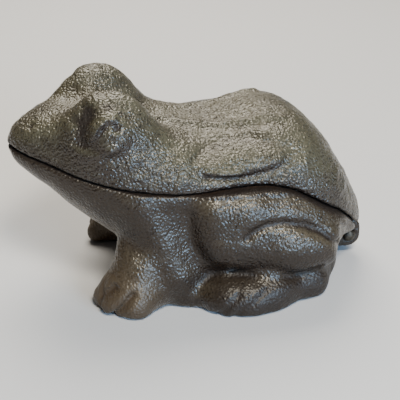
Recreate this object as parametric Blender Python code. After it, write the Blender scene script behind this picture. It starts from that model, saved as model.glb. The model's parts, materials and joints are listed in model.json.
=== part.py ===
"""Cast-iron frog box: a base casting, a lid casting hinged at the rump, and the hinge pin.

The frog sits on z = 0 and faces -Y, with its left side towards +X. World units are metres.
Its form is written in design units, one of which is a millimetre at the real size, so the
whole animal follows LENGTH. Walls, gaps and the hinge have their own driving dimensions.
"""

import math

import bmesh
import bpy
import numpy as np
from mathutils import Euler, Matrix, Vector

LENGTH = 0.135                    # snout to rump
UNIT = LENGTH / 135.0             # one design unit
WALL_SCALE = (0.89, 0.925, 0.87)  # hollow over trunk, across, along and up
SEAM_GAP = 0.0007                 # between the two castings, all round the mouth line
PIN_RADIUS = 0.0016
PIN_CLEARANCE = 0.0004            # pin to bore, all round
PIN_HEAD_RADIUS = 0.0024
PIN_DOME = 0.0013                 # height of the domed head
PIN_HEAD_GAP = 0.0004             # pin head to the ear's outer face
EAR_RADIUS = 0.0047
LOBE_RISE = 0.0025                # the ears rise this far above the pin's own circle
EAR_INNER_X = 0.0036
EAR_OUTER_X = 0.0086
LUG_RADIUS = 0.0041
LUG_HALF_WIDTH = 0.0031

HINGE_Y = 61.5                    # design units, as is everything below
HINGE_Z = 8.3
CENTRE_SHIFT = 0.0008             # moves the middle of the frog's length to y = 0

CLAY_VOXEL = 0.0012
BASE_SMOOTHING = 7                # passes; the base has toes to keep
LID_SMOOTHING = 18
BASE_FACES = 0.062                # share of the clay's faces that the casting keeps
LID_FACES = 0.05
HOLLOW_FACES = 0.3
SHARP_ANGLE = math.radians(40)

RING_POINTS = 40
LOFT_RINGS = 44
BALL_SEGMENTS = 32
BALL_RINGS = 20
BEVEL_STEPS = 5
MOUTH_STEPS = 56
CIRCLE_STEPS = 28
PIN_STEPS = 24
DOME_STEPS = 5

# along, crest height, belly height, half width, height of the widest point, lower squareness
TRUNK = (
    (-68.0, 57.5, 53.5, 3.0, 55.5, 2.3),
    (-66.0, 60.8, 49.5, 7.0, 53.0, 2.3),
    (-62.5, 63.8, 45.5, 12.0, 51.5, 2.3),
    (-56.0, 66.5, 40.5, 18.0, 49.5, 2.4),
    (-48.0, 68.0, 33.0, 24.5, 47.0, 2.4),
    (-38.0, 67.5, 25.0, 30.5, 44.5, 2.4),
    (-26.0, 65.0, 15.0, 34.5, 43.0, 2.6),
    (-13.0, 62.0, 8.0, 36.0, 42.5, 3.0),
    (2.0, 60.8, 3.0, 36.2, 42.5, 3.6),
    (14.0, 62.0, 2.0, 35.5, 42.5, 3.6),
    (26.0, 64.4, 2.0, 36.5, 42.0, 3.6),
    (33.0, 63.6, 2.0, 36.5, 40.0, 3.4),
    (40.0, 60.0, 2.5, 35.0, 37.0, 3.0),
    (47.0, 53.5, 3.5, 31.5, 33.0, 2.8),
    (53.0, 44.7, 5.0, 26.5, 28.0, 2.6),
    (58.5, 35.5, 7.0, 20.0, 22.0, 2.4),
    (63.0, 26.0, 9.0, 13.0, 18.0, 2.3),
    (66.5, 17.0, 12.0, 4.0, 15.0, 2.3),
)
UPPER_SQUARENESS = 2.3

# along, height of the mouth line
MOUTH_LINE = (
    (-80.0, 56.5), (-69.0, 55.0), (-58.0, 52.6), (-45.5, 49.0), (-31.0, 45.9), (-16.0, 43.9),
    (-6.0, 43.5), (6.0, 44.4), (20.0, 44.2), (29.0, 41.9), (35.0, 38.6), (42.0, 34.0), (49.0, 29.3),
    (56.0, 22.5), (60.0, 17.8), (63.0, 15.6), (70.0, 14.6), (80.0, 14.6),
)

# centre, radii, turn in degrees, all for the left side
HEAD_SHAPES = {
    "brow": ((16.0, -34.5, 67.8), (9.2, 12.5, 9.6), (0, 0, -12)),
    "eye": ((20.0, -34.0, 60.5), (8.8, 12.5, 11.5), (0, 0, -12)),
}
LEG_SHAPES = {
    "skirt": ((26.0, -6.0, 4.0), (13.0, 14.0, 9.0), (0, 0, 0)),
    "thigh": ((29.5, 22.0, 28.0), (15.0, 29.0, 17.5), (-9, 0, -3)),
    "knee": ((31.0, 5.5, 31.0), (11.3, 14.0, 14.5), (0, 0, 0)),
    "shank": ((31.5, 27.0, 22.3), (16.0, 25.0, 13.3), (-3, 0, -6)),
    "shin": ((35.0, 8.5, 21.5), (8.5, 13.0, 9.5), (0, 0, 0)),
    "instep": ((38.0, 12.0, 4.5), (11.0, 14.0, 8.0), (0, 0, 8)),
}

# start, end, start radius, end radius, all for the left side
LIMBS = {
    "arm": ((25.5, -24.0, 38.0), (30.0, -13.0, 12.0), 10.0, 9.5),
    "heel": ((20.0, 46.5, 6.0), (34.0, 37.0, 5.5), 7.0, 7.5),
    "sole": ((34.0, 37.0, 5.5), (39.5, 19.0, 5.0), 7.5, 8.0),
}
WRIST = ((28.0, -28.0, 20.0), (30.0, -24.0, 8.0), 5.5, 7.5)
PALM = ((31.0, -28.5, 6.0), (11.0, 12.0, 9.0), 25)
HAND = (29.0, -26.0, 14.0)
HAND_TIPS = ((28.0, -38.8, 3.2), (34.5, -36.0, 3.2), (39.5, -28.5, 3.2))
FOOT = (38.0, 18.0, 6.0)
FOOT_TIPS = ((37.0, 1.5, 3.6), (43.0, 5.0, 3.6), (45.5, 13.0, 3.8))
KNUCKLE_RADIUS = 8.0
TOE_RADIUS = 4.0
RIGHT_HAND_BACK = 5.0             # the right hand stands this much further back

BELLY_CENTRE = (0.0, 11.0, 16.0)
BELLY_HALF = (33.0, 39.0, 15.0)
BELLY_ROUNDING = 10.0
TRUNK_CENTRE = (0.0, -1.0, 34.0)  # the hollow shrinks towards this point
HOLLOW_REAR = 54.0

HALF_SPAN = 60.0                  # wider than the frog, for anything cut right across it
ABOVE = 100.0                     # higher than the frog
BELOW = -5.0                      # under the feet
EAR_FOOT = ((52.0, 3.5), (52.0, 13.0))
LUG_ROOT = ((58.5, 24.0), (61.5, 24.0), (63.5, 18.0))
SLOT_OUTLINE = ((56.4, 0.02), (80.0, 0.02), (80.0, 40.0), (56.4, 40.0))
STEP_OUTLINE = (
    (58.0, -5.0), (80.0, -5.0), (80.0, 40.0), (61.2, 40.0), (61.2, 14.0), (58.0, 11.5),
)
POCKET_PLAN = ((8.9, 57.2), (8.9, 80.0), (40.0, 80.0), (40.0, 45.1))  # across, along
POCKET_TOP = 13.3
BORE_HALF_LENGTH = 0.02           # metres


def clear_scene():
    """Start from an empty scene."""
    for item in list(bpy.data.objects):
        bpy.data.objects.remove(item, do_unlink=True)


def material(name, colour, roughness, metallic):
    """A Principled material."""
    result = bpy.data.materials.new(name)
    result.use_nodes = True
    shader = result.node_tree.nodes["Principled BSDF"]
    shader.inputs["Base Color"].default_value = (*colour, 1.0)
    shader.inputs["Roughness"].default_value = roughness
    shader.inputs["Metallic"].default_value = metallic
    return result


def new_object(name, mesh_data, parent=None):
    """Turn a bmesh into a named object."""
    mesh = bpy.data.meshes.new(name)
    bmesh.ops.recalc_face_normals(mesh_data, faces=mesh_data.faces)
    mesh_data.to_mesh(mesh)
    mesh_data.free()
    result = bpy.data.objects.new(name, mesh)
    bpy.context.scene.collection.objects.link(result)
    result.parent = parent
    return result


def as_cutter(item):
    """Mark an object as a construction aid."""
    item.hide_render = True
    item.display_type = "WIRE"
    return item


def cubic(table, column, along):
    """A monotone cubic curve through one column of a station table."""
    x = np.array([row[0] for row in table])
    v = np.array([row[column] for row in table])
    step = np.diff(x)
    slope = np.diff(v) / step
    same_sign = slope[:-1] * slope[1:] > 0
    inner = np.where(same_sign, 2 * slope[:-1] * slope[1:] / (slope[:-1] + slope[1:] + 1e-12), 0)
    tangent = np.concatenate(([slope[0]], inner, [slope[-1]]))
    i = int(np.clip(np.searchsorted(x, along) - 1, 0, len(step) - 1))
    t = (along - x[i]) / step[i]
    start = v[i] * (1 + 2 * t) * (1 - t) ** 2 + tangent[i] * step[i] * t * (1 - t) ** 2
    end = v[i + 1] * t * t * (3 - 2 * t) + tangent[i + 1] * step[i] * t * t * (t - 1)
    return float(start + end)


def trunk_ring(along):
    """Points round the trunk at one station: two half superellipses of unlike height."""
    crest, belly, half_width, widest, squareness = (cubic(TRUNK, c, along) for c in range(1, 6))
    points = []
    for i in range(RING_POINTS):
        angle = 2 * math.pi * i / RING_POINTS
        across = math.cos(angle)
        up = math.sin(angle)
        power = 2 / (UPPER_SQUARENESS if up > 0 else squareness)
        rise = (crest - widest) if up > 0 else (widest - belly)
        x = half_width * math.copysign(abs(across) ** power, across)
        z = widest + rise * math.copysign(abs(up) ** power, up)
        points.append(Vector((x, along, z)))
    return points


def add_trunk(clay):
    """Loft the trunk from snout to rump, with closer rings at both ends."""
    first = TRUNK[0][0]
    last = TRUNK[-1][0]
    rings = []
    for i in range(LOFT_RINGS):
        share = 0.5 - 0.5 * math.cos(math.pi * i / (LOFT_RINGS - 1))
        ring = [clay.verts.new(p * UNIT) for p in trunk_ring(first + share * (last - first))]
        rings.append(ring)
    for near, far in zip(rings[:-1], rings[1:]):
        for i in range(RING_POINTS):
            j = (i + 1) % RING_POINTS
            clay.faces.new((near[i], near[j], far[j], far[i]))
    clay.faces.new(rings[0])
    clay.faces.new(rings[-1])


def add_ball(clay, centre, radii, turn=(0, 0, 0)):
    """An ellipsoid of clay."""
    place = Matrix.Translation(Vector(centre) * UNIT)
    rotation = Euler([math.radians(a) for a in turn]).to_matrix().to_4x4()
    size = Matrix.Diagonal((*(r * UNIT for r in radii), 1.0))
    bmesh.ops.create_uvsphere(
        clay, u_segments=BALL_SEGMENTS, v_segments=BALL_RINGS, radius=1.0,
        matrix=place @ rotation @ size,
    )


def add_limb(clay, start, end, start_radius, end_radius):
    """A tapered limb: the hull of a ball at each end."""
    limb = bmesh.new()
    for centre, radius in ((start, start_radius), (end, end_radius)):
        add_ball(limb, centre, (radius, radius, radius))
    hull = bmesh.ops.convex_hull(limb, input=limb.verts)
    loose = [v for v in hull["geom_interior"] if isinstance(v, bmesh.types.BMVert)]
    bmesh.ops.delete(limb, geom=loose, context="VERTS")
    inner = [f for f in hull["geom_unused"] + hull["geom_holes"] if isinstance(f, bmesh.types.BMFace)]
    bmesh.ops.delete(limb, geom=[f for f in inner if f.is_valid], context="FACES")
    append(clay, limb)


def append(target, source):
    """Move one bmesh's shapes into another."""
    carrier = bpy.data.meshes.new("carrier")
    source.to_mesh(carrier)
    source.free()
    target.from_mesh(carrier)
    bpy.data.meshes.remove(carrier)


def add_belly(clay):
    """The low, boxy underbody between the feet, with rounded edges."""
    block = bmesh.new()
    size = Matrix.Diagonal((*(2 * h * UNIT for h in BELLY_HALF), 1.0))
    place = Matrix.Translation(Vector(BELLY_CENTRE) * UNIT)
    bmesh.ops.create_cube(block, size=1.0, matrix=place @ size)
    bmesh.ops.bevel(
        block, geom=block.edges[:], offset=BELLY_ROUNDING * UNIT, segments=BEVEL_STEPS,
        profile=0.5, affect="EDGES",
    )
    append(clay, block)


def mirrored(point, side):
    """A left-side point on either side of the frog."""
    return (side * point[0], point[1], point[2])


def add_shapes(clay, shapes):
    """Ellipsoids on both sides of the frog."""
    for side in (1, -1):
        for centre, radii, (roll, pitch, yaw) in shapes.values():
            add_ball(clay, mirrored(centre, side), radii, (roll, side * pitch, side * yaw))


def add_toes(clay, knuckle, tips):
    """Toes that fan out from one knuckle."""
    for tip in tips:
        add_limb(clay, knuckle, tip, KNUCKLE_RADIUS, TOE_RADIUS)


def add_hand(clay, side):
    """Wrist, palm and toes on one side."""
    back = RIGHT_HAND_BACK if side < 0 else 0.0

    def place(point):
        return (side * point[0], point[1] + back, point[2])

    start, end, start_radius, end_radius = WRIST
    add_limb(clay, place(start), place(end), start_radius, end_radius)
    centre, radii, yaw = PALM
    add_ball(clay, place(centre), radii, (0, 0, side * yaw))
    add_toes(clay, place(HAND), [place(tip) for tip in HAND_TIPS])


def add_legs(clay):
    """Legs, hands and feet on both sides of the frog."""
    add_shapes(clay, LEG_SHAPES)
    for side in (1, -1):
        for start, end, start_radius, end_radius in LIMBS.values():
            add_limb(clay, mirrored(start, side), mirrored(end, side), start_radius, end_radius)
        add_hand(clay, side)
        add_toes(clay, mirrored(FOOT, side), [mirrored(tip, side) for tip in FOOT_TIPS])


def fused(clay, name, root, smoothing, kept_faces):
    """Fuse overlapping clay shapes into one skin, soften it and thin its faces."""
    skin = as_cutter(new_object(name, clay, root))
    remesh = skin.modifiers.new("fuse", "REMESH")
    remesh.mode = "VOXEL"
    remesh.voxel_size = CLAY_VOXEL
    soften = skin.modifiers.new("soften", "SMOOTH")
    soften.factor = 0.5
    soften.iterations = smoothing
    thin = skin.modifiers.new("thin", "DECIMATE")
    thin.ratio = kept_faces
    return skin


def build_base_clay(root):
    """Trunk, belly and legs."""
    clay = bmesh.new()
    add_trunk(clay)
    add_belly(clay)
    add_legs(clay)
    return fused(clay, "base_clay", root, BASE_SMOOTHING, BASE_FACES)


def build_lid_clay(root):
    """Trunk and brows. The legs stay off it: the lid's rim is the trunk's own outline."""
    clay = bmesh.new()
    add_trunk(clay)
    add_shapes(clay, HEAD_SHAPES)
    return fused(clay, "lid_clay", root, LID_SMOOTHING, LID_FACES)


def prism(name, outline, half_width, root, centre_x=0.0):
    """Extrude a (y, z) outline across the frog, in metres."""
    shape = bmesh.new()
    ring = [shape.verts.new((centre_x - half_width, y, z)) for y, z in outline]
    face = shape.faces.new(ring)
    swept = bmesh.ops.extrude_face_region(shape, geom=[face])
    moved = [v for v in swept["geom"] if isinstance(v, bmesh.types.BMVert)]
    bmesh.ops.translate(shape, verts=moved, vec=(2 * half_width, 0, 0))
    return new_object(name, shape, root)


def mouth_outline(offset, far_height):
    """The mouth line, moved up or down, closed by a level line at far_height."""
    first = MOUTH_LINE[0][0]
    last = MOUTH_LINE[-1][0]
    along = [first + (last - first) * i / MOUTH_STEPS for i in range(MOUTH_STEPS + 1)]
    line = [(y * UNIT, cubic(MOUTH_LINE, 1, y) * UNIT + offset) for y in along]
    return line + [(last * UNIT, far_height), (first * UNIT, far_height)]


def circle(radius, rise=0.0):
    """Points round the hinge axis, or round a line above it."""
    centre_y = HINGE_Y * UNIT
    centre_z = HINGE_Z * UNIT + rise
    angles = [2 * math.pi * i / CIRCLE_STEPS for i in range(CIRCLE_STEPS)]
    return [(centre_y + radius * math.cos(a), centre_z + radius * math.sin(a)) for a in angles]


def hull_outline(points):
    """The convex outline round a set of (y, z) points."""
    ordered = sorted(set(points))
    outline = []
    for sweep in (ordered, ordered[::-1]):
        half = []
        for p in sweep:
            while len(half) > 1 and turn_of(half[-2], half[-1], p) <= 0:
                half.pop()
            half.append(p)
        outline += half[:-1]
    return outline


def turn_of(a, b, c):
    """Positive where a, b, c turn left."""
    return (b[0] - a[0]) * (c[1] - a[1]) - (b[1] - a[1]) * (c[0] - a[0])


def hollow(root):
    """The storage hollow: a smaller trunk inside the trunk, stopped short of the hinge."""
    shape = bmesh.new()
    add_trunk(shape)
    centre = Vector(TRUNK_CENTRE) * UNIT
    shrink = Matrix.Translation(centre) @ Matrix.Diagonal((*WALL_SCALE, 1.0))
    bmesh.ops.transform(shape, matrix=shrink @ Matrix.Translation(-centre), verts=shape.verts)
    everything = shape.verts[:] + shape.edges[:] + shape.faces[:]
    rear = bmesh.ops.bisect_plane(
        shape, geom=everything, plane_co=(0, HOLLOW_REAR * UNIT, 0), plane_no=(0, 1, 0),
        clear_outer=True,
    )
    rim = [e for e in rear["geom_cut"] if isinstance(e, bmesh.types.BMEdge)]
    bmesh.ops.edgeloop_fill(shape, edges=rim)
    item = as_cutter(new_object("hollow", shape, root))
    thin = item.modifiers.new("thin", "DECIMATE")
    thin.ratio = HOLLOW_FACES
    return item


def boolean(item, operation, tool):
    """Add an exact Boolean."""
    step = item.modifiers.new(f"{operation.lower()}_{tool.name}", "BOOLEAN")
    step.operation = operation
    step.solver = "EXACT"
    step.object = tool


def scaled(outline):
    """A (y, z) outline in design units, as metres."""
    return [(y * UNIT, z * UNIT) for y, z in outline]


def pocket(name, side, root):
    """The open space beside a hinge ear, behind the leg and under the rim."""
    shape = bmesh.new()
    floor = [shape.verts.new((side * x * UNIT, y * UNIT, BELOW * UNIT)) for x, y in POCKET_PLAN]
    face = shape.faces.new(floor)
    swept = bmesh.ops.extrude_face_region(shape, geom=[face])
    moved = [v for v in swept["geom"] if isinstance(v, bmesh.types.BMVert)]
    bmesh.ops.translate(shape, verts=moved, vec=(0, 0, (POCKET_TOP - BELOW) * UNIT))
    return as_cutter(new_object(name, shape, root))


def hinge_tools(root):
    """Ears, lug, slot, rump step and bore, as construction solids."""
    ear_circles = circle(EAR_RADIUS) + circle(EAR_RADIUS, LOBE_RISE)
    ear_outline = hull_outline(ear_circles + scaled(EAR_FOOT))
    ear_half = (EAR_OUTER_X - EAR_INNER_X) / 2
    ear_middle = (EAR_OUTER_X + EAR_INNER_X) / 2
    ears = [prism(f"ear_{n}", ear_outline, ear_half, root, s * ear_middle)
            for n, s in (("left", 1), ("right", -1))]
    lug = prism("lug", hull_outline(circle(LUG_RADIUS) + scaled(LUG_ROOT)), LUG_HALF_WIDTH, root)
    bore = prism("bore", circle(PIN_RADIUS + PIN_CLEARANCE), BORE_HALF_LENGTH, root)
    slot = prism("slot", scaled(SLOT_OUTLINE), EAR_INNER_X, root)
    rump_step = prism("rump_step", scaled(STEP_OUTLINE), HALF_SPAN * UNIT, root)
    for tool in (*ears, lug, bore, slot, rump_step):
        as_cutter(tool)
    return ears, lug, bore, slot, rump_step


def build_base(root, skin, cavity, ears, bore, slot, rump_step, iron):
    """Jaw, belly bowl, legs and hinge ears, below the mouth line."""
    outline = mouth_outline(-SEAM_GAP / 2, 0.0)
    base = prism("base_casting", outline, HALF_SPAN * UNIT, root)
    boolean(base, "INTERSECT", skin)
    boolean(base, "DIFFERENCE", cavity)
    boolean(base, "DIFFERENCE", rump_step)
    for name, side in (("pocket_left", 1), ("pocket_right", -1)):
        boolean(base, "DIFFERENCE", pocket(name, side, root))
    boolean(base, "DIFFERENCE", slot)
    for ear in ears:
        boolean(base, "UNION", ear)
    boolean(base, "DIFFERENCE", bore)
    base.data.materials.append(iron)
    return base


def build_lid(root, skin, cavity, lug, bore, iron):
    """Head and back, above the mouth line, with the hinge lug under the rump."""
    outline = mouth_outline(SEAM_GAP / 2, ABOVE * UNIT)
    lid = prism("lid_casting", outline, HALF_SPAN * UNIT, root)
    boolean(lid, "INTERSECT", skin)
    boolean(lid, "DIFFERENCE", cavity)
    boolean(lid, "UNION", lug)
    boolean(lid, "DIFFERENCE", bore)
    lid.data.materials.append(iron)
    return lid


def build_pin(root, steel):
    """A plain pin with a domed, peened head at both ends, turned about the hinge axis."""
    inner = EAR_OUTER_X + PIN_HEAD_GAP
    quarter = [math.pi / 2 * i / DOME_STEPS for i in range(DOME_STEPS + 1)]
    head = [(inner + PIN_DOME * math.sin(a), PIN_HEAD_RADIUS * math.cos(a)) for a in quarter]
    right_half = [(inner, PIN_RADIUS)] + head
    profile = [(-x, r) for x, r in reversed(right_half)] + right_half
    shape = bmesh.new()
    ring = [shape.verts.new((x, 0.0, max(r, 0.0))) for x, r in profile]
    edges = [shape.edges.new(pair) for pair in zip(ring[:-1], ring[1:])]
    bmesh.ops.spin(
        shape, geom=ring + edges, cent=(0, 0, 0), axis=(1, 0, 0), angle=2 * math.pi,
        steps=PIN_STEPS, use_merge=True,
    )
    bmesh.ops.remove_doubles(shape, verts=shape.verts, dist=0.00001)
    pin = new_object("hinge_pin", shape, root)
    pin.location = (0.0, HINGE_Y * UNIT, HINGE_Z * UNIT)
    pin.data.materials.append(steel)
    pin.data.shade_smooth()
    pin.data.set_sharp_from_angle(angle=SHARP_ANGLE)
    return pin


def build():
    """Build the three pieces on a root empty."""
    clear_scene()
    root = bpy.data.objects.new("frog_box", None)
    root.location = (0.0, CENTRE_SHIFT, 0.0)
    bpy.context.scene.collection.objects.link(root)
    iron = material("base_iron", (0.045, 0.036, 0.028), 0.45, 0.8)
    lid_iron = material("lid_iron", (0.055, 0.045, 0.035), 0.5, 0.8)
    steel = material("pin_steel", (0.16, 0.16, 0.13), 0.5, 0.9)
    cavity = hollow(root)
    ears, lug, bore, slot, rump_step = hinge_tools(root)
    base = build_base(root, build_base_clay(root), cavity, ears, bore, slot, rump_step, iron)
    lid = build_lid(root, build_lid_clay(root), cavity, lug, bore, lid_iron)
    build_pin(root, steel)
    for casting in (base, lid):
        casting.data.shade_smooth()
        casting.data.set_sharp_from_angle(angle=SHARP_ANGLE)


build()
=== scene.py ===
"""The finished look of a cast-iron frog box: two sand-cast halves and a hinge pin.

The castings are shaped as distance fields on a grid and meshed from them. A field is
negative inside the iron. Sizes are in design units, one millimetre at the frame's size,
with x across, y along (snout at low y) and z up; the frame gives the scale and the place.
"""

import json
import math

import bmesh
import bpy
import numpy as np
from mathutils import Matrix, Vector


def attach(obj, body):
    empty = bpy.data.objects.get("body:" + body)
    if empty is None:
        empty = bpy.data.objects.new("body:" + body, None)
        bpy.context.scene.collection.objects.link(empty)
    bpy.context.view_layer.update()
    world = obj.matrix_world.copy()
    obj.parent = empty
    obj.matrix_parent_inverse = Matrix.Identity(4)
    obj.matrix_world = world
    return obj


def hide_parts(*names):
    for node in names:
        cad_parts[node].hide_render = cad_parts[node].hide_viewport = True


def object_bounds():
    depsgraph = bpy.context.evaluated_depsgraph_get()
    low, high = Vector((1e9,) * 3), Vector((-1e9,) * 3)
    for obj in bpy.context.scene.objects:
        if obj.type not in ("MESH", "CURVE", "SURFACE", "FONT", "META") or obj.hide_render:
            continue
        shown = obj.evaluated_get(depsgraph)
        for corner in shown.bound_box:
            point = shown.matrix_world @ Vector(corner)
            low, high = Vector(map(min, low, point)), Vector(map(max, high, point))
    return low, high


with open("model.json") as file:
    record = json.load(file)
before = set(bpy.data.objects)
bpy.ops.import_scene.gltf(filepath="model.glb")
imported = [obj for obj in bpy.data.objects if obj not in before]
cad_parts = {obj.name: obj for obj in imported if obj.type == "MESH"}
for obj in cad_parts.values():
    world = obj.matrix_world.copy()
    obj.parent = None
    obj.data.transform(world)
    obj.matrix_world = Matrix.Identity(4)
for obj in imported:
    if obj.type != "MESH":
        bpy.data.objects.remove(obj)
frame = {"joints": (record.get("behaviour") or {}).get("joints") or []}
CAD_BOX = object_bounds()

DESIGN_LENGTH = 134.2
UNIT = (CAD_BOX[1].y - CAD_BOX[0].y) / DESIGN_LENGTH
HINGE = Vector(frame["joints"][0]["pos_m"])
HINGE_Y = 61.5
HINGE_Z = 8.3
ORIGIN = Vector((0.0, HINGE.y - HINGE_Y * UNIT, HINGE.z - HINGE_Z * UNIT))

CELL = 0.8
SEAM_GAP = 0.75
RIM_ROUND = 0.9
WALL_SCALE = (0.89, 0.925, 0.87)
HOLLOW_CENTRE = (0.0, -1.0, 34.0)
HOLLOW_REAR = 54.0
EAR_RADIUS = 4.7
EAR_INNER_X = 3.6
EAR_OUTER_X = 8.6
LUG_RADIUS = 4.1
LUG_HALF_WIDTH = 3.1
PIN_RADIUS = 1.6
BORE_RADIUS = 2.0
PIN_HEAD_RADIUS = 2.4
PIN_HEAD_GAP = 0.4
LOBE_RISE = 2.5
LUG_ROOT = (0, 61.0, 22.0)
LUG_ROOT_RADIUS = 2.6
PIN_HEAD_EDGE = 0.05
PIN_DOME_SHARE = 0.55
PIN_SIDES = 64
DOME_STEPS = 12
PEEN_DEPTH = 0.05
PEEN_DENTS = 5
BASE_BOX = ((-52, -72, -3.2), (52, 72, 58))
LID_BOX = ((-41, -72, 2), (41, 72, 81))

# The rump around the hinge: the leg's rear end, the pocket beside the ear, the slot for the lug.
REAR_SLANT = 0.39
LEG_END = 61.4
RECESS_TOP = 11.5
RECESS_SLOPE = 1.15
POCKET_FRONT = 60.7
POCKET_TOP = 14.0
POCKET_SLOPE = 0.35
POCKET_LEVEL_Y = 60
POCKET_GAP = 0.3
RUMP_LOW_Y = 58
RUMP_HIGH_Y = 61.2
RUMP_SLOPE = 1.3
RUMP_START_Z = 11.5
SLOT_FRONT = 56.4

# along, crest height, belly height, half width, height of the widest point, lower squareness
TRUNK = (
    (-68.0, 57.5, 53.5, 2.5, 55.5, 2.3),
    (-66.5, 60.5, 49.8, 6.5, 53.0, 2.3),
    (-63.0, 63.5, 46.0, 11.5, 51.5, 2.3),
    (-56.0, 66.5, 40.5, 18.0, 49.5, 2.4),
    (-48.0, 68.0, 33.0, 24.5, 47.0, 2.4),
    (-38.0, 68.0, 25.0, 30.5, 44.5, 2.4),
    (-26.0, 65.0, 15.0, 34.5, 43.0, 2.6),
    (-13.0, 62.0, 8.0, 36.0, 42.5, 3.0),
    (2.0, 60.8, 3.0, 36.2, 42.5, 3.6),
    (14.0, 62.0, 2.0, 35.5, 42.5, 3.6),
    (26.0, 64.4, 2.0, 36.5, 42.0, 3.6),
    (33.0, 63.6, 2.0, 36.5, 40.0, 3.4),
    (40.0, 60.0, 2.0, 35.0, 37.0, 3.0),
    (47.0, 53.5, 3.0, 31.5, 33.0, 2.8),
    (53.0, 44.7, 5.0, 26.5, 28.0, 2.6),
    (58.5, 35.5, 7.0, 20.0, 22.0, 2.4),
    (63.0, 26.0, 9.0, 13.0, 18.0, 2.3),
    (66.0, 17.0, 12.0, 4.0, 15.0, 2.3),
)
UPPER_SQUARENESS = 2.3
RIGHT_HAND_BACK = 5.0

# Toe tips and the knuckles they grow from, as across, along and up.
HAND_KNUCKLE = (29, -26, 14)
HAND_TOES = ((27.5, -38.3, 3.4), (34, -36, 3.4), (38.5, -29, 3.6))
HEEL = (20, 45.5, 6)
ANKLE = (34, 36, 5.5)
FOOT_KNUCKLE = (38, 18, 6)
FOOT_TOES = ((37, 0, 4), (42.2, 4.5, 4), (43.5, 12, 4))

MOUTH_LINE = (
    (-80.0, 56.5), (-69.0, 55.0), (-58.0, 52.6), (-45.5, 49.0), (-31.0, 45.9), (-16.0, 43.9),
    (-6.0, 43.5), (6.0, 44.4), (20.0, 44.2), (29.0, 41.9), (35.0, 38.6), (42.0, 34.0), (49.0, 29.3),
    (56.0, 22.5), (60.0, 17.8), (63.0, 15.6), (70.0, 14.6), (80.0, 14.6),
)

# Where each kind of relief begins: outwards on face, flank and limbs, up on the back, down on toes.
FACE_SIDE = 15
FLANK_SIDE = 18
LIMB_SIDE = 33
BACK_LOW = 50
TOES_TOP = 9.5

EYE_CENTRE = (-35.0, 66.2)
EYE_RADII = (6.6, 6.2)
EYE_LEAN = -20
EYE_RISE = 1.7
PUPIL_CENTRE = (-33.0, 68.2)
PUPIL_RADIUS = 2.0
PUPIL_RIM = 0.6
PUPIL_DEPTH = 0.9
DRUM_CENTRE = (-25.5, 53.8)
DRUM_RADIUS = 3.6
NOSTRIL = (7.5, -60)
NOSTRIL_LOW = 55
NOSTRIL_DEPTH = 1.0
FOLD_CENTRE = (10.4, 53.0)
FOLD_RADII = (13.2, 3.8)
FOLD_LEAN = 3
FOLD_RISE = 1.5
MOAT_OFFSET = 1.2
MOAT_DEPTH = 0.8
RUMP_RING_CENTRE = (49.5, 40.5)
RUMP_RING_RADII = (2.6, 3.8)
SMALL_RING_RISE = 0.35

# Lines drawn on the skin: height (negative for a groove), width, and points as along and up.
EYE_LINES = (
    (-1.8, 2.6, ((-44.6, 62.5), (-44.2, 67.5), (-41.5, 71.5))),
    (1.5, 1.1, ((-42.1, 63.7), (-40.0, 68.2), (-36.7, 71.2), (-33.0, 72.0))),
    (-0.7, 1.0, ((-40.2, 62.8), (-38.4, 66.6), (-35.6, 69.3))),
)
CHEEK_LINES = ((0.7, 1.4, ((-45.1, 58.6), (-42, 58.0), (-38.8, 58.9), (-35, 60.6))),)
FOLD_LINES = (
    (-0.5, 0.9, ((-2.5, 48.8), (4.2, 48.2), (8.5, 48.0))),
    (0.8, 0.8, ((-2.6, 50.5), (3.3, 50.1), (9.6, 49.7))),
)
LEG_LINES = (
    (-1.5, 1.5, ((10, 28.7), (12.5, 30.8), (17, 32.6), (24, 32.9), (31, 31.2), (38, 27.4),
                 (46, 20.6))),
    (-1.0, 2.6, ((-9.5, 36), (-8, 26), (-5, 20.5), (-1, 16.8), (6.3, 14.3))),
    (-1.0, 1.8, ((6.3, 14.3), (12.2, 13), (18.7, 12), (26, 11.7), (31.7, 12.2), (36.9, 14.2))),
)
TOE_SIDE_LINES = (
    (-0.9, 0.9, ((-1.5, 0), (6, 8.5))),
    (-0.9, 0.9, ((4.5, 1), (16, 9.5))),
    (-1.9, 1.0, ((-43, 3.5), (-36, 11))),
    (-1.9, 1.0, ((-37.5, 1), (-30.5, 9.5))),
)

# The same, with points as across and along.
TOE_TOP_LINES = (
    (-1.3, 1.0, ((29.5, -33), (32.2, -40.5))),
    (-1.3, 1.0, ((35, 8), (37, -4))),
)
SPINE = ((3.3, -18), (7.3, -8), (10.5, 2), (12.9, 11), (14.6, 20), (16.5, 28.5))
BESIDE_SPINE = tuple((across + 4.0, along + 0.5) for across, along in SPINE)
BACK_LINES = ((1.0, 1.5, SPINE), (-0.5, 1.8, BESIDE_SPINE))

# Grain: size of its blobs, then fine height, coarse height and first seed for each casting.
FINE_GRAIN = 0.9
COARSE_GRAIN = 4.0
BASE_GRAIN = (0.05, 0.10, 3)
LID_GRAIN = (0.09, 0.14, 1)

# Painted shade with dullness: which creases get it, how wide it is at the seam, and where the hind
# feet get it; dust on the hands.
CREASE_SIZE = 1.4
CREASE_DEPTH = 0.5
CREASE_START = 0.1
SEAM_SHADE = 1.4
FEET_TOP = 14.0
FEET_FRONT = -4
FEET_SHADE = 0.9
HANDS_TOP = 16
HANDS_BACK = -21
BARE_MARGIN = 1.2

# Limits that keep the meshing steady where a field is nearly flat, and inside the grid.
LEAST_SLOPE = 0.3
LEAST_SLOPE_SQUARE = 0.05
LARGEST_PULL = 0.5
LAST_CELL = 1.001


# ---------------------------------------------------------------- field tools


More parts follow.
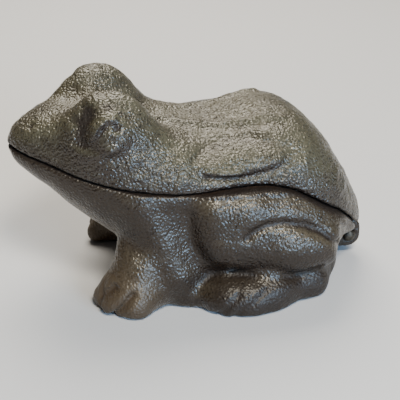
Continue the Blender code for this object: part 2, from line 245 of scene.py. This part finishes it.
def cubic(table, column, along):
    """A monotone cubic curve through one column of a station table."""
    x = np.array([row[0] for row in table])
    v = np.array([row[column] for row in table])
    step = np.diff(x)
    slope = np.diff(v) / step
    same_sign = slope[:-1] * slope[1:] > 0
    total = np.where(same_sign, slope[:-1] + slope[1:], 1.0)
    inner = np.where(same_sign, 2 * slope[:-1] * slope[1:] / total, 0.0)
    tangent = np.concatenate(([slope[0]], inner, [slope[-1]]))
    along = np.clip(along, x[0], x[-1])
    i = np.clip(np.searchsorted(x, along) - 1, 0, len(step) - 1)
    t = (along - x[i]) / step[i]
    start = v[i] * (1 + 2 * t) * (1 - t) ** 2 + tangent[i] * step[i] * t * (1 - t) ** 2
    end = v[i + 1] * t * t * (3 - 2 * t) + tangent[i + 1] * step[i] * t * t * (t - 1)
    return (start + end).astype(np.float32)


def join(a, b, blend):
    """Smooth union: the two shapes run into each other over about the blend length."""
    h = np.clip(0.5 + 0.5 * (b - a) / blend, 0, 1)
    return b + (a - b) * h - blend * h * (1 - h)


def cut(a, b, blend):
    """Smooth intersection of a and b, with a rounded edge."""
    return -join(-a, -b, blend)


def turned(grid, centre, turn):
    """Grid coordinates about a centre, in axes turned by roll, pitch and yaw in degrees."""
    x, y, z = (g - c for g, c in zip(grid, centre))
    roll, pitch, yaw = (math.radians(a) for a in turn)
    x, y = x * math.cos(yaw) + y * math.sin(yaw), y * math.cos(yaw) - x * math.sin(yaw)
    x, z = x * math.cos(pitch) - z * math.sin(pitch), z * math.cos(pitch) + x * math.sin(pitch)
    y, z = y * math.cos(roll) + z * math.sin(roll), z * math.cos(roll) - y * math.sin(roll)
    return x, y, z


def ellipsoid(grid, centre, radii, turn=(0, 0, 0)):
    """Distance to an ellipsoid, exact near its surface."""
    local = turned(grid, centre, turn)
    near = np.sqrt(sum((p / r) ** 2 for p, r in zip(local, radii))) + 1e-6
    far = np.sqrt(sum((p / (r * r)) ** 2 for p, r in zip(local, radii))) + 1e-6
    return near * (near - 1) / far


def limb(grid, start, end, start_radius, end_radius):
    """Distance to a round limb that tapers from start to end."""
    axis = [e - s for s, e in zip(start, end)]
    length = sum(a * a for a in axis)
    share = sum((g - s) * a for g, s, a in zip(grid, start, axis)) / length
    share = np.clip(share, 0, 1)
    gap = sum((g - s - a * share) ** 2 for g, s, a in zip(grid, start, axis))
    return np.sqrt(gap) - (start_radius + (end_radius - start_radius) * share)


def rounded_block(grid, centre, half, rounding):
    """Distance to a block with rounded edges."""
    q = [np.abs(g - c) - (h - rounding) for g, c, h in zip(grid, centre, half)]
    outside = np.sqrt(sum(np.maximum(a, 0) ** 2 for a in q))
    inside = np.minimum(np.maximum(np.maximum(q[0], q[1]), q[2]), 0)
    return outside + inside - rounding


def bar(grid, start, end, half, rounding, yaw):
    """Distance to a square bar with rounded edges; one of its faces is turned to yaw degrees."""
    axis = Vector(end) - Vector(start)
    length = axis.length
    axis.normalize()
    facing = Vector((math.cos(math.radians(yaw)), math.sin(math.radians(yaw)), 0.0))
    facing = (facing - axis * facing.dot(axis)).normalized()
    sideways = axis.cross(facing)
    local = [sum((g - s) * a for g, s, a in zip(grid, start, way))
             for way in (facing, sideways, axis)]
    return rounded_block(local, (0, 0, length / 2), (half, half, length / 2 + half), rounding)


def line_distance(u, v, points):
    """Distance to a polyline in a flat projection."""
    best = None
    for (a, b), (c, d) in zip(points[:-1], points[1:]):
        length = (c - a) ** 2 + (d - b) ** 2
        share = np.clip(((u - a) * (c - a) + (v - b) * (d - b)) / length, 0, 1)
        gap = np.sqrt((u - a - share * (c - a)) ** 2 + (v - b - share * (d - b)) ** 2)
        best = gap if best is None else np.minimum(best, gap)
    return best


def ring_distance(u, v, centre, radii, lean=0.0):
    """Distance to an ellipse in a flat projection, negative inside."""
    c = math.cos(math.radians(lean))
    s = math.sin(math.radians(lean))
    du = (u - centre[0]) * c + (v - centre[1]) * s
    dv = (v - centre[1]) * c - (u - centre[0]) * s
    return (np.sqrt((du / radii[0]) ** 2 + (dv / radii[1]) ** 2) - 1) * min(radii)


def bump(distance, width):
    """A soft ridge profile, 1 on the line."""
    return np.exp(-((distance / width) ** 2))


def inside(distance, width):
    """A soft mask: 1 well below zero, 0 well above."""
    return 1 / (1 + np.exp(np.clip(distance / width, -40, 40)))


def unit_slope(field):
    """Scale a field so that it measures distance near its surface."""
    slope = np.sqrt(sum(g * g for g in np.gradient(field, CELL)))
    return field / np.maximum(slope, LEAST_SLOPE)


def blurred(field, size):
    """A field smoothed over the given size."""
    shape = field.shape
    waves = [np.fft.fftfreq(n, CELL) for n in shape[:2]] + [np.fft.rfftfreq(shape[2], CELL)]
    square = sum(w.reshape([-1 if i == k else 1 for i in range(3)]) ** 2
                 for k, w in enumerate(waves))
    spectrum = np.fft.rfftn(field) * np.exp(-2 * (math.pi * size) ** 2 * square)
    return np.fft.irfftn(spectrum, s=shape).astype(np.float32)


def grain(shape, size, seed):
    """Even three-dimensional noise with blobs of the given size and unit spread."""
    noise = np.random.default_rng(seed).standard_normal(shape).astype(np.float32)
    noise = blurred(noise, size)
    return noise / noise.std()


def sand_cast(skin, shape, fine, coarse, seed):
    """Roughen a skin with fine and coarse grain of the given heights."""
    return skin - fine * grain(shape, FINE_GRAIN, seed) - coarse * grain(shape, COARSE_GRAIN, seed + 1)


def drawn(height, u, v, lines, mask):
    """Add lines to a relief: a ridge for each, or a groove where its height is negative."""
    for rise, width, points in lines:
        height = height + rise * bump(line_distance(u, v, points), width) * mask
    return height


def marks(grid, field):
    """Painted shade with dullness (creases, seam, hind feet), where hands are dusty, and the bare
    inside.
    """
    x, y, z = grid
    half = (np.abs(x), y, z)
    # Painted shade: creases, a band along the seam and the hind feet are marked to lose the painted
    # top light and turn duller.
    creases = np.clip((field - blurred(field, CREASE_SIZE)) / CREASE_DEPTH + CREASE_START, 0, 1)
    seam = bump(mouth(half), SEAM_SHADE)
    hind_feet = inside(z - FEET_TOP, 3.0) * inside(FEET_FRONT - y, 2)
    return {
        "shade_and_grime": np.maximum(np.maximum(creases, seam), FEET_SHADE * hind_feet),
        "dust": inside(z - HANDS_TOP, 3) * inside(y - HANDS_BACK, 2.5),
        "bare": inside(hollow(half) - BARE_MARGIN, 0.3),
    }


# ---------------------------------------------------------------- the frog's form


def trunk(grid):
    """The long body from snout to rump: superellipse sections along a curved spine."""
    x, y, z = grid
    along = y[0, :, 0]
    crest, belly, wide, middle, square = (
        cubic(TRUNK, c, along).reshape(1, -1, 1) for c in range(1, 6)
    )
    rise = np.where(z > middle, crest - middle, middle - belly)
    power = np.where(z > middle, UPPER_SQUARENESS, square)
    ring = ((np.abs(x) / wide) ** power + (np.abs(z - middle) / rise) ** power) ** (1 / power)
    field = (ring - 1) * np.minimum(wide, rise)
    beyond = np.maximum(TRUNK[0][0] - y, 0) + np.maximum(y - TRUNK[-1][0], 0)
    return np.sqrt(np.maximum(field, 0) ** 2 + beyond**2) + np.minimum(field, 0) * (beyond == 0)


def head(grid, body):
    """Brow mounds over the eyes, a swelling from each to the cheek, and a ridge down the snout."""
    body = join(body, ellipsoid(grid, (16.5, -34, 67.5), (8.8, 12, 9.5), (0, 0, -12)), 9)
    body = join(body, ellipsoid(grid, (20.5, -33.5, 60.5), (8, 12, 11), (0, 0, -12)), 9)
    body = join(body, limb(grid, (18, -27, 59.5), (23, -12, 48), 9.0, 8.0), 8)
    return join(body, limb(grid, (15.5, -42, 63.5), (9, -57, 58.5), 4.5, 3.0), 6)


def arm(grid, body):
    """The arm, square in section with one edge outwards, down from the corner of the mouth."""
    return join(body, bar(grid, (25.5, -24.5, 38), (29.6, -13.5, 13.5), 9.2, 8.0, 32), 4)


def hand(grid, body):
    """A broad wedge of a hand with three toes at its front edge."""
    shape = limb(grid, (27.5, -29, 21), (30, -24, 8), 5.0, 8.0)
    shape = join(shape, ellipsoid(grid, (31, -28.5, 6), (11, 12, 9), (0, 0, 25)), 4)
    for tip in HAND_TOES:
        shape = join(shape, limb(grid, HAND_KNUCKLE, tip, 8.5, 4.8), 3.5)
    return join(body, shape, 4.5)


def hind_leg(grid, body):
    """Thigh and shank, folded flat against the flank, cut short in front of the hinge."""
    thigh = ellipsoid(grid, (29.5, 22, 28), (15, 29, 17.5), (-9, 0, -3))
    knee = rounded_block(grid, (30.5, 6, 31), (11.3, 14, 13), 9)
    leg = join(thigh, knee, 7)
    leg = join(leg, ellipsoid(grid, (31.5, 27, 22.3), (16, 25, 13.3), (-3, 0, -6)), 1.5)
    leg = join(leg, ellipsoid(grid, (35, 8.5, 21.5), (8.5, 13, 9.5)), 5)
    x, y, z = grid
    before_hinge = y + REAR_SLANT * x - LEG_END
    over_recess = RECESS_TOP + RECESS_SLOPE * (HINGE_Y - y) - z
    return join(body, cut(leg, join(before_hinge, over_recess, 4.0), 3.0), 4.5)


def foot(grid, body):
    """The long hind foot, along the ground from the heel to three toes."""
    shape = limb(grid, HEEL, ANKLE, 6.5, 7.2)
    shape = join(shape, limb(grid, ANKLE, (39.5, 19, 5), 7.2, 8), 4)
    shape = join(shape, ellipsoid(grid, (37, 10, 4), (11.2, 15, 8.2), (0, 0, 8)), 4)
    for tip in FOOT_TOES:
        shape = join(shape, limb(grid, FOOT_KNUCKLE, tip, 8.0, 4.6), 6)
    return join(body, shape, 2.5)


def face_relief(grid):
    """Eyes, eardrum and nostril, as heights to add to the skin."""
    x, y, z = grid
    side = inside(FACE_SIDE - x, 1.5)
    ball = ring_distance(y, z, EYE_CENTRE, EYE_RADII, EYE_LEAN)
    height = EYE_RISE * inside(ball, 0.7) * side
    height = drawn(height, y, z, EYE_LINES, side)
    pupil = ring_distance(y, z, PUPIL_CENTRE, (PUPIL_RADIUS, PUPIL_RADIUS))
    height += (PUPIL_RIM * bump(pupil, 0.7) - PUPIL_DEPTH * inside(pupil + 0.5, 0.4)) * side
    height = drawn(height, y, z, CHEEK_LINES, side)
    drum = np.abs(ring_distance(y, z, DRUM_CENTRE, (DRUM_RADIUS, DRUM_RADIUS)))
    height += SMALL_RING_RISE * bump(drum, 0.9) * side
    nostril = np.sqrt((x - NOSTRIL[0]) ** 2 + (y - NOSTRIL[1]) ** 2)
    return height - NOSTRIL_DEPTH * bump(nostril, 0.9) * inside(NOSTRIL_LOW - z, 2)


def back_relief(grid):
    """The long fold on the flank, a small ring behind it, and the ridges along the back."""
    x, y, z = grid
    side = inside(FLANK_SIDE - x, 2)
    fold = ring_distance(y, z, FOLD_CENTRE, FOLD_RADII, FOLD_LEAN)
    height = FOLD_RISE * inside(fold, 0.7) * side
    height -= MOAT_DEPTH * bump(fold - MOAT_OFFSET, 0.9) * side
    height = drawn(height, y, z, FOLD_LINES, side)
    mark = np.abs(ring_distance(y, z, RUMP_RING_CENTRE, RUMP_RING_RADII))
    height += SMALL_RING_RISE * bump(mark, 0.8) * side
    return drawn(height, x, y, BACK_LINES, inside(BACK_LOW - z, 2))


def leg_relief(grid):
    """The crease between thigh and shank, the valleys round them, and grooves between toes."""
    x, y, z = grid
    height = drawn(0.0, y, z, LEG_LINES, inside(FLANK_SIDE - x, 2))
    height = drawn(height, y, z, TOE_SIDE_LINES, inside(LIMB_SIDE - x, 1.0))
    return drawn(height, x, y, TOE_TOP_LINES, inside(z - TOES_TOP, 1.5))


def hollow(grid):
    """The storage hollow: a smaller trunk inside the trunk, stopped short of the hinge."""
    smaller = [c + (g - c) / s for g, c, s in zip(grid, HOLLOW_CENTRE, WALL_SCALE)]
    return cut(trunk(smaller) * min(WALL_SCALE), grid[1] - HOLLOW_REAR, 3.0)


def mouth(grid):
    """Height above the mouth line."""
    return grid[2] - cubic(MOUTH_LINE, 1, grid[1][0, :, 0]).reshape(1, -1, 1)


def about_hinge(grid):
    """Distance from the hinge axis."""
    return np.sqrt((grid[1] - HINGE_Y) ** 2 + (grid[2] - HINGE_Z) ** 2)


def make_grid(low, high):
    """Coordinates of a box of grid points, one cell apart."""
    axes = [np.arange(a, b + CELL, CELL, dtype=np.float32) for a, b in zip(low, high)]
    x, y, z = np.meshgrid(*axes, indexing="ij", sparse=True)
    return x, y, z


def hip_pocket(grid):
    """Negative in the open space beside each hinge ear, behind the leg and under the rim."""
    x, y, z = grid
    behind_leg = y + REAR_SLANT * x - POCKET_FRONT
    under_rim = POCKET_TOP + POCKET_SLOPE * np.maximum(POCKET_LEVEL_Y - y, 0) - z
    return cut(cut(-behind_leg, -under_rim, 2.0), EAR_OUTER_X + POCKET_GAP - x, 1.0)


def hinge_ear(grid):
    """A lobe round the pin on each side of the lug, grown out of the rump."""
    x, y, z = grid
    lobe = limb((x * 0, y, z), (0, HINGE_Y, HINGE_Z), (0, HINGE_Y, HINGE_Z + LOBE_RISE),
                EAR_RADIUS, EAR_RADIUS)
    root = rounded_block(grid, (6.1, 58.6, 9.2), (4, 3.1, 5.5), 1.0)
    half_width = (EAR_OUTER_X - EAR_INNER_X) / 2
    middle = (EAR_OUTER_X + EAR_INNER_X) / 2
    return cut(join(lobe, root, 1.0), np.abs(x - middle) - half_width, 0.8)


def base_field(grid):
    """Jaw, belly bowl, legs and hinge ears."""
    across, y, z = grid
    half = (np.abs(across), y, z)
    belly = rounded_block(half, (0, 11, 16), (33, 39, 15), 10)
    web = ellipsoid(half, (26, -6, 4), (13, 14, 9))
    skin = join(join(trunk(half), belly, 6), web, 6)
    skin = arm(half, skin)
    skin = hand((half[0], y - RIGHT_HAND_BACK * (across < 0), z), skin)
    skin = hind_leg(half, skin)
    skin = foot(half, skin)
    skin = unit_slope(cut(skin, -z, 1.2)) - leg_relief(half)
    shape = np.broadcast_shapes(across.shape, y.shape, z.shape)
    skin = sand_cast(skin, shape, *BASE_GRAIN)
    skin = cut(skin, -z, 0.6)
    skin = cut(skin, mouth(half) + SEAM_GAP / 2, RIM_ROUND)
    skin = cut(skin, -hollow(half), RIM_ROUND)
    rump = np.clip(RUMP_LOW_Y + RUMP_SLOPE * (z - RUMP_START_Z), RUMP_LOW_Y, RUMP_HIGH_Y)
    skin = cut(skin, y - rump, 1.0)
    skin = cut(skin, -hip_pocket(half), 1.5)
    slot = np.maximum(half[0] - EAR_INNER_X, SLOT_FRONT - y)
    skin = cut(skin, -slot, 0.5)
    skin = join(skin, hinge_ear(half), 0.8)
    return cut(skin, BORE_RADIUS - about_hinge(grid), 0.2)


def lid_field(grid):
    """Head, eyes and back, with the hinge lug under the rump."""
    across, y, z = grid
    half = (np.abs(across), y, z)
    skin = unit_slope(head(half, trunk(half)))
    skin = skin - face_relief(half) - back_relief(half)
    shape = np.broadcast_shapes(across.shape, y.shape, z.shape)
    skin = sand_cast(skin, shape, *LID_GRAIN)
    skin = cut(skin, SEAM_GAP / 2 - mouth(half), RIM_ROUND)
    skin = cut(skin, -hollow(half), RIM_ROUND)
    lug = limb((across * 0, y, z), (0, HINGE_Y, HINGE_Z), LUG_ROOT, LUG_RADIUS, LUG_ROOT_RADIUS)
    lug = cut(lug, np.abs(across) - LUG_HALF_WIDTH, 0.5)
    skin = join(skin, lug, 1.0)
    return cut(skin, BORE_RADIUS - about_hinge(grid), 0.2)


# ---------------------------------------------------------------- meshing


def surface_net(field):
    """One vertex in each cell that the surface crosses, and a face across each crossed edge."""
    solid = field < 0
    cells = tuple(n - 1 for n in field.shape)
    total = np.zeros(cells + (3,), np.float32)
    count = np.zeros(cells, np.float32)
    for axis in range(3):
        others = [a for a in range(3) if a != axis]
        near = np.take(field, range(cells[axis]), axis)
        far = np.take(field, range(1, cells[axis] + 1), axis)
        crossed = (near < 0) != (far < 0)
        share = np.where(crossed, near / np.where(crossed, near - far, 1), 0)
        for step_a in (0, 1):
            for step_b in (0, 1):
                window = [slice(None)] * 3
                window[others[0]] = slice(step_a, step_a + cells[others[0]])
                window[others[1]] = slice(step_b, step_b + cells[others[1]])
                hit = crossed[tuple(window)]
                count += hit
                total[..., axis] += share[tuple(window)]
                total[..., others[0]] += step_a * hit
                total[..., others[1]] += step_b * hit
    used = count > 0
    index = np.full(cells, -1, np.int64)
    index[used] = np.arange(used.sum())
    places = np.argwhere(used) + total[used] / count[used][:, None]
    faces = []
    for axis in range(3):
        faces.append(faces_across(solid, index, axis))
    return places.astype(np.float32), np.concatenate(faces)


def faces_across(solid, index, axis):
    """The four cells round each grid edge along one axis where the surface passes."""
    a, b = [(1, 2), (2, 0), (0, 1)][axis]
    inner = [slice(1, -1)] * 3
    inner[axis] = slice(0, -1)
    ahead = [slice(1, -1)] * 3
    ahead[axis] = slice(1, None)
    here = solid[tuple(inner)]
    crossed = np.argwhere(here != solid[tuple(ahead)])
    leaving = here[tuple(crossed.T)]
    offset = np.array([1, 1, 1])
    offset[axis] = 0
    corner = crossed + offset
    quad = []
    for back_a, back_b in ((1, 1), (0, 1), (0, 0), (1, 0)):
        cell = corner.copy()
        cell[:, a] -= back_a
        cell[:, b] -= back_b
        quad.append(index[tuple(cell.T)])
    quad = np.stack(quad, axis=1)
    quad[~leaving] = quad[~leaving][:, ::-1]
    return quad


def sampled(field, places):
    """A field's value at places between grid points."""
    low = np.minimum(places.astype(int), np.array(field.shape) - 2)
    part = places - low
    value = 0
    for corner in np.ndindex(2, 2, 2):
        weight = np.prod(np.where(corner, part, 1 - part), axis=1)
        value = value + weight * field[tuple((low + corner).T)]
    return value


def casting(name, box, shape, body, node, material):
    """Mesh one casting, place it in the frame and let it stand for its CAD node."""
    grid = make_grid(*box)
    field = shape(grid).astype(np.float32)
    places, faces = surface_net(field)
    slopes = np.stack([sampled(g, places) for g in np.gradient(field)], axis=1)
    pull = sampled(field, places) / np.maximum((slopes**2).sum(axis=1), LEAST_SLOPE_SQUARE)
    places = places - np.clip(pull[:, None] * slopes, -LARGEST_PULL, LARGEST_PULL)
    places = np.clip(places, 0, np.array(field.shape) - LAST_CELL)
    world = (places * CELL + np.array(box[0])) * UNIT + np.array(ORIGIN)
    world[:, 2] = np.maximum(world[:, 2], 0.0)
    mesh = bpy.data.meshes.new(name)
    mesh.from_pydata(world.tolist(), [], faces.tolist())
    for mark, values in marks(grid, field).items():
        layer = mesh.attributes.new(mark, "FLOAT", "POINT")
        full = np.broadcast_to(values, field.shape)
        layer.data.foreach_set("value", sampled(full, places).astype(np.float32))
    return add_piece(name, mesh, Vector((0.0, 0.0, 0.0)), body, node, material)


def add_piece(name, mesh, location, body, node, material):
    """A smooth piece that rides on a body and stands for a CAD node."""
    mesh.shade_smooth()
    mesh.materials.append(material)
    piece = bpy.data.objects.new(name, mesh)
    piece.location = location
    bpy.context.scene.collection.objects.link(piece)
    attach(piece, body)
    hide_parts(node)
    return piece


def pin_profile():
    """The pin's outline as (along, radius), where its heads begin and where its tip is."""
    inner = EAR_OUTER_X + PIN_HEAD_GAP
    face = inner + 2 * PIN_HEAD_EDGE
    dome = PIN_DOME_SHARE * PIN_HEAD_RADIUS
    arc = [math.pi / 2 * i / DOME_STEPS for i in range(DOME_STEPS)]
    right = [(0.0, PIN_RADIUS), (inner, PIN_RADIUS)]
    right += [(inner + PIN_HEAD_EDGE, PIN_HEAD_RADIUS - PIN_HEAD_EDGE)]
    right += [(face + dome * math.sin(a), PIN_HEAD_RADIUS * math.cos(a)) for a in arc]
    return [(-x, r) for x, r in reversed(right[1:])] + right, inner, face + dome


def pin(name, body, node, material):
    """The hinge pin: a shank with a hammered dome at each end, turned about the hinge axis."""
    profile, inner, tip = pin_profile()
    shape = bmesh.new()
    rings = []
    for x, r in profile:
        ring = []
        for i in range(PIN_SIDES):
            a = 2 * math.pi * i / PIN_SIDES
            peened = 1 - PEEN_DEPTH * (abs(x) > inner) * (1 + math.sin(PEEN_DENTS * a + x)) / 2
            ring.append(shape.verts.new((x, r * peened * math.cos(a), r * peened * math.sin(a))))
        rings.append(ring)
    for near, far in zip(rings[:-1], rings[1:]):
        for i in range(PIN_SIDES):
            j = (i + 1) % PIN_SIDES
            shape.faces.new((near[i], near[j], far[j], far[i]))
    for ring, x in ((rings[0], -tip), (rings[-1], tip)):
        end = shape.verts.new((x, 0, 0))
        for i in range(PIN_SIDES):
            shape.faces.new((ring[i], ring[(i + 1) % PIN_SIDES], end))
    bmesh.ops.scale(shape, vec=(UNIT, UNIT, UNIT), verts=shape.verts)
    bmesh.ops.recalc_face_normals(shape, faces=shape.faces)
    mesh = bpy.data.meshes.new(name)
    shape.to_mesh(mesh)
    shape.free()
    return add_piece(name, mesh, HINGE, body, node, material)


# ---------------------------------------------------------------- materials

# The first size is for the patches of the painted top light.
TOP_LIGHT_PATCH = 14.0
RUST_PATCH = 3.0
GLOSS_PATCH = 4.0
PIT_SIZE = 1.0
PEBBLE_SIZE = 1.0
PIT_SHADE = 0.4
DUST_COVER = 0.45
DUST = (0.100, 0.066, 0.036)
RUST = ((0.035, 0.022, 0.015), (0.075, 0.040, 0.022))
STEEL = ((0.022, 0.017, 0.011), (0.075, 0.060, 0.042))
WARM_SHEEN = (1.0, 0.95, 0.86, 1.0)
GLOSS = (0.22, 0.38)
LAYER_ROUGHNESS = (("shade_and_grime", 0.6), ("bare", 0.65), ("dust", 0.52))


class Paint:
    """A new node-based material, with makers for the nodes used here."""

    def __init__(self, name):
        self.material = bpy.data.materials.new(name)
        self.material.use_nodes = True
        self.nodes = self.material.node_tree.nodes
        self.links = self.material.node_tree.links
        self.shader = self.nodes["Principled BSDF"]
        self.place = self.nodes.new("ShaderNodeTexCoord")

    def feed(self, name, value):
        """Set one of the shader's inputs to a number, a colour or another node's output."""
        if isinstance(value, bpy.types.NodeSocket):
            self.links.new(value, self.shader.inputs[name])
        else:
            self.shader.inputs[name].default_value = value

    def noise(self, size, detail):
        """Cloudy noise with blobs of the given size."""
        node = self.nodes.new("ShaderNodeTexNoise")
        node.inputs["Scale"].default_value = 1 / (size * UNIT)
        node.inputs["Detail"].default_value = detail
        node.inputs["Roughness"].default_value = 0.55
        self.links.new(self.place.outputs["Object"], node.inputs["Vector"])
        return node.outputs["Fac"]

    def pebble(self, size):
        """Distance from the middle of rounded cells of the given size."""
        node = self.nodes.new("ShaderNodeTexVoronoi")
        node.feature = "SMOOTH_F1"
        node.inputs["Scale"].default_value = 1 / (size * UNIT)
        node.inputs["Smoothness"].default_value = 0.35
        self.links.new(self.place.outputs["Object"], node.inputs["Vector"])
        return node.outputs["Distance"]

    def ramp(self, source, low, high, start, end):
        """Map low..high onto start..end, held at both ends."""
        node = self.nodes.new("ShaderNodeMapRange")
        node.inputs["From Min"].default_value = low
        node.inputs["From Max"].default_value = high
        node.inputs["To Min"].default_value = start
        node.inputs["To Max"].default_value = end
        self.links.new(source, node.inputs["Value"])
        return node.outputs["Result"]

    def maths(self, operation, first, second):
        """One sum on two outputs or numbers."""
        node = self.nodes.new("ShaderNodeMath")
        node.operation = operation
        for socket, value in zip(node.inputs, (first, second)):
            if isinstance(value, float):
                socket.default_value = value
            else:
                self.links.new(value, socket)
        return node.outputs["Value"]

    def mix(self, factor, first, second):
        """Blend from the first colour to the second."""
        node = self.nodes.new("ShaderNodeMix")
        node.data_type = "RGBA"
        self.links.new(factor, node.inputs["Factor"])
        for socket, value in ((node.inputs[6], first), (node.inputs[7], second)):
            if isinstance(value, tuple):
                socket.default_value = (*value, 1.0)
            else:
                self.links.new(value, socket)
        return node.outputs[2]

    def mark(self, layer):
        """One of the marks kept on the mesh."""
        node = self.nodes.new("ShaderNodeAttribute")
        node.attribute_name = layer
        return node.outputs["Fac"]

    def facing_up(self):
        """How far the surface faces upwards, from -1 to 1."""
        node = self.nodes.new("ShaderNodeSeparateXYZ")
        self.links.new(self.place.outputs["Normal"], node.inputs["Vector"])
        return node.outputs["Z"]

    def relief(self, height, depth):
        """A normal tilted by a height pattern of the given depth."""
        node = self.nodes.new("ShaderNodeBump")
        node.inputs["Strength"].default_value = 1.0
        node.inputs["Distance"].default_value = depth * UNIT
        self.links.new(height, node.inputs["Height"])
        return node.outputs["Normal"]


def iron(name, deep, top_light, coarse, shine):
    """Black-brown lacquer on sand-cast iron: pebbled skin, and painted top light in olive on what
    faces up.
    """
    paint = Paint(name)
    # Painted light: up-facing surfaces get a lighter olive colour, in patches, standing in for the
    # sheen of light from above.
    patches = paint.ramp(paint.noise(TOP_LIGHT_PATCH, 3.0), 0.38, 0.64, 0.6, 1.0)
    lit_from_above = paint.maths("MULTIPLY", paint.ramp(paint.facing_up(), 0.0, 0.7, 0.0, 1.0), patches)
    # Painted shade: the painted top light is taken off in creases, along the seam and on the hind
    # feet.
    out_of_shade = paint.ramp(paint.mark("shade_and_grime"), 0.05, 0.8, 1.0, 0.0)
    colour = paint.mix(paint.maths("MULTIPLY", lit_from_above, out_of_shade), deep, top_light)
    pits = paint.ramp(paint.noise(PIT_SIZE, 2.0), 0.30, 0.45, 0.8, 0.0)
    colour = paint.mix(pits, colour, tuple(PIT_SHADE * c for c in deep))
    colour = paint.mix(paint.maths("MULTIPLY", paint.mark("dust"), DUST_COVER), colour, DUST)
    rust = paint.mix(paint.ramp(paint.noise(RUST_PATCH, 3.0), 0.4, 0.65, 0.0, 1.0), *RUST)
    paint.feed("Base Color", paint.mix(paint.mark("bare"), colour, rust))
    paint.feed("Metallic", 0.0)
    paint.feed("Specular IOR Level", shine)
    paint.feed("Specular Tint", WARM_SHEEN)
    rough = paint.ramp(paint.noise(GLOSS_PATCH, 3.0), 0.35, 0.7, *GLOSS)
    for layer, roughness in LAYER_ROUGHNESS:
        dull = paint.maths("MULTIPLY", paint.mark(layer), roughness)
        rough = paint.maths("MAXIMUM", rough, dull)
    paint.feed("Roughness", rough)
    pebbles = paint.maths("MULTIPLY", paint.pebble(PEBBLE_SIZE), -0.9)
    skin = paint.maths("ADD", pebbles, paint.noise(0.8, 0.5))
    paint.feed("Normal", paint.relief(skin, coarse))
    return paint.material


def steel(name):
    """Dull, tarnished steel with a fine rough relief."""
    paint = Paint(name)
    tarnish = paint.ramp(paint.noise(1.2, 3.0), 0.4, 0.65, 0.0, 1.0)
    paint.feed("Base Color", paint.mix(tarnish, *STEEL))
    paint.feed("Metallic", 0.6)
    paint.feed("Roughness", paint.ramp(paint.noise(0.6, 3.0), 0.3, 0.7, 0.45, 0.65))
    paint.feed("Normal", paint.relief(paint.noise(0.4, 2.0), 0.08))
    return paint.material


# ---------------------------------------------------------------- stage

FLOOR_HALF = 3.0
FLOOR_Z = -0.0002
FLOOR_COLOUR = (0.62, 0.61, 0.6, 1)
WORLD_STRENGTH = 0.09
LAMP_TARGET = Vector((0, 0, 0.03))
LAMPS = (
    ("ceiling", (-0.5, 0.05, 0.65), (0.55, 0.55), 8.8, (1.0, 0.94, 0.83)),
    ("key", (0.60, 0.04, 0.72), (0.24, 0.24), 10, (1.0, 0.95, 0.84)),
    ("window", (0.90, 0.32, 0.28), (0.5, 0.28), 13, (0.42, 0.66, 1.0)),
)
CAMERA_AZIMUTH = 77
CAMERA_ELEVATION = 23.5
CAMERA_DISTANCE = 420
CAMERA_LENS = 98.1
CAMERA_TARGET = Vector((0, 3.0, 25.5))


def floor():
    """A wide pale sheet just under the frog."""
    corners = [(x * FLOOR_HALF, y * FLOOR_HALF, FLOOR_Z)
               for x, y in ((-1, -1), (1, -1), (1, 1), (-1, 1))]
    mesh = bpy.data.meshes.new("floor")
    mesh.from_pydata(corners, [], [(0, 1, 2, 3)])
    paint = Paint("floor_paint")
    paint.feed("Base Color", FLOOR_COLOUR)
    paint.feed("Roughness", 0.7)
    mesh.materials.append(paint.material)
    sheet = bpy.data.objects.new("floor", mesh)
    bpy.context.scene.collection.objects.link(sheet)


def studio():
    """A dim, cool surrounding light."""
    world = bpy.data.worlds.new("studio")
    world.use_nodes = True
    background = world.node_tree.nodes["Background"]
    background.inputs["Color"].default_value = (0.8, 0.82, 0.85, 1)
    background.inputs["Strength"].default_value = WORLD_STRENGTH
    bpy.context.scene.world = world


def lamp(name, place, size, power, colour):
    """A soft rectangular lamp, aimed at the frog."""
    data = bpy.data.lights.new(name, "AREA")
    data.shape = "RECTANGLE"
    data.size, data.size_y = size
    data.energy = power
    data.color = colour
    item = bpy.data.objects.new(name, data)
    item.location = place
    item.rotation_euler = (LAMP_TARGET - Vector(place)).to_track_quat("-Z", "Y").to_euler()
    bpy.context.scene.collection.objects.link(item)


def camera():
    """A long lens, from the frog's left side and a little in front and above."""
    azimuth = math.radians(CAMERA_AZIMUTH)
    elevation = math.radians(CAMERA_ELEVATION)
    back = Vector((math.sin(azimuth) * math.cos(elevation),
                   -math.cos(azimuth) * math.cos(elevation), math.sin(elevation)))
    data = bpy.data.cameras.new("camera")
    data.lens = CAMERA_LENS
    item = bpy.data.objects.new("camera", data)
    item.location = ORIGIN + CAMERA_TARGET * UNIT + back * CAMERA_DISTANCE * UNIT
    item.rotation_euler = (-back).to_track_quat("-Z", "Y").to_euler()
    bpy.context.scene.collection.objects.link(item)
    bpy.context.scene.camera = item


# The second colour of each iron is its painted top light.
base_iron = iron("base_iron", (0.016, 0.010, 0.007), (0.078, 0.060, 0.037), 0.24, 0.45)
lid_iron = iron("lid_iron", (0.018, 0.012, 0.009), (0.084, 0.074, 0.046), 0.42, 0.55)
base = casting("base", BASE_BOX, base_field, "base", "base_casting", base_iron)
lid = casting("lid", LID_BOX, lid_field, "lid", "lid_casting", lid_iron)
hinge_pin = pin("pin", "base", "hinge_pin", steel("pin_steel"))
floor()
studio()
for settings in LAMPS:
    lamp(*settings)
camera()
